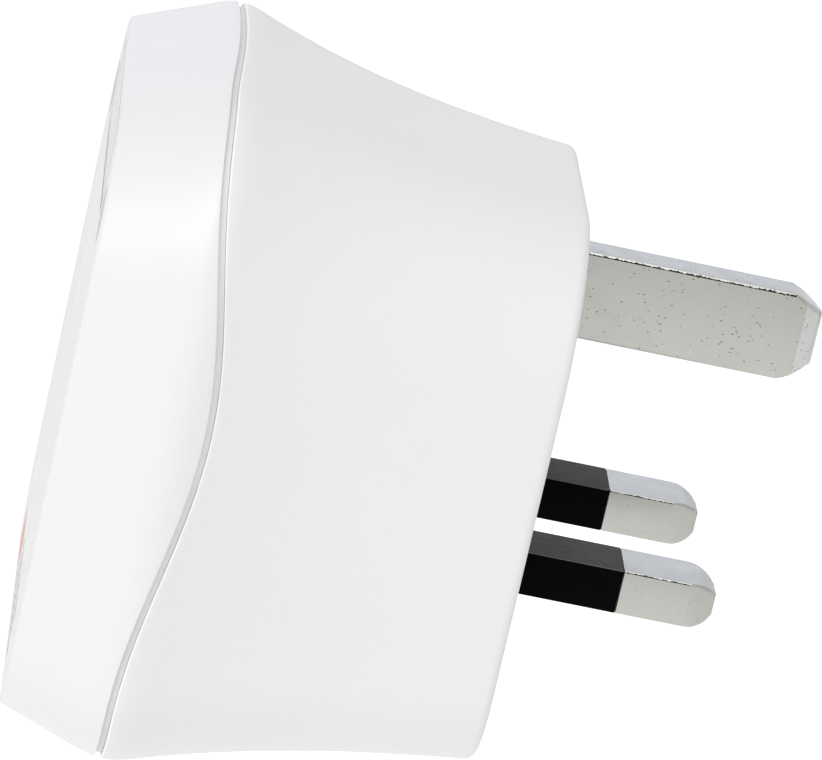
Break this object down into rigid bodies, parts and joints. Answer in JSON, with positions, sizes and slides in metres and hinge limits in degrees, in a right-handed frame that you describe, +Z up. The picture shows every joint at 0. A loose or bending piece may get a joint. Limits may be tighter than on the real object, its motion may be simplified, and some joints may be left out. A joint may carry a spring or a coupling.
{
  "type": "plug-in power meter",
  "caption": "Plug-in power meter: flared white case with British mains pins behind, a shuttered socket, small display and flush keys in front, and a fuse drawer between the pins.",
  "frame": {"origin": "on the flat back face, midway between the line and neutral pins", "axes": "+Y out of the back face into the wall, along the pins; +Z up, towards the earth pin; +X to the user's right"},
  "size_m": [0.0628, 0.0647, 0.0578],
  "materials": {
    "case_back": "fine matt texture, white",
    "case_front": "satin to gloss white",
    "nickel": "nickel-plated, slightly pitted",
    "sleeve": "black insulating plastic",
    "fuse_drawer": "white, semi-matt",
    "ceramic": "cream fired ceramic",
    "fuse_brass": "bright",
    "contact_metal": "phosphor bronze, spring temper",
    "steel": "zinc-plated",
    "inner_plastic": "natural moulded plastic",
    "board": "green solder mask",
    "chip": "black epoxy",
    "capacitor_box": "yellow film capacitor box",
    "capacitor_can": "dark sleeved can",
    "varistor": "blue epoxy coat",
    "liquid_crystal": "grey-green display glass",
    "window": "clear polycarbonate",
    "key": "light grey",
    "elastomer": "striped conductive rubber",
    "ribbon": "flat cable"
  },
  "bodies": {
    "case": {"rear_shell": "case_back", "front_cover": "case_front", "case_screw_upper_right": "steel", "case_screw_upper_left": "steel", "case_screw_lower_right": "steel", "case_screw_lower_left": "steel", "earth_pin": "nickel", "line_pin": "nickel", "neutral_pin": "nickel", "line_pin_sleeve": "sleeve", "neutral_pin_sleeve": "sleeve", "pin_carrier": "inner_plastic", "fuse_clip_line": "contact_metal", "fuse_clip_load": "contact_metal", "line_strap": "contact_metal", "earth_strap": "contact_metal", "main_board": "board", "board_screw_1": "steel", "board_screw_2": "steel", "mains_capacitor": "capacitor_box", "storage_capacitor": "capacitor_can", "varistor": "varistor", "shunt_strip": "contact_metal", "metering_chip": "chip", "backup_cell": "steel", "cell_clip": "steel", "socket_housing": "inner_plastic", "line_contact": "contact_metal", "neutral_contact": "contact_metal", "earth_contact": "contact_metal", "shutter_spring": "steel", "display_board": "board", "controller_chip": "chip", "display_frame": "inner_plastic", "liquid_crystal": "liquid_crystal", "contact_strip": "elastomer", "display_window": "window", "ribbon_cable": "ribbon", "mode_switch": "chip", "set_switch": "chip"},
    "fuse_drawer": {"fuse_drawer": "fuse_drawer", "fuse_tube": "ceramic", "fuse_cap_line": "fuse_brass", "fuse_cap_load": "fuse_brass"},
    "shutter": {"shutter": "case_front"},
    "mode_key": {"mode_key": "key", "mode_plunger": "chip"},
    "set_key": {"set_key": "key", "set_plunger": "chip"}
  },
  "joints": [
    {"name": "fuse_drawer_slide", "type": "slide", "parent": "case", "child": "fuse_drawer", "axis": [0, 1, 0], "range_m": [0, 0.0105]},
    {"name": "shutter_slide", "type": "slide", "parent": "case", "child": "shutter", "axis": [0, 0, -1], "range_m": [0, 0.0056], "stiffness_N_per_m": 60, "springref_m": -0.002, "deforming": ["shutter_spring"]},
    {"name": "mode_key_press", "type": "slide", "parent": "case", "child": "mode_key", "axis": [0, 1, 0], "range_m": [0, 0.0005], "stiffness_N_per_m": 400, "springref_m": -0.0005},
    {"name": "set_key_press", "type": "slide", "parent": "case", "child": "set_key", "axis": [0, 1, 0], "range_m": [0, 0.0005], "stiffness_N_per_m": 400, "springref_m": -0.0005}
  ]
}
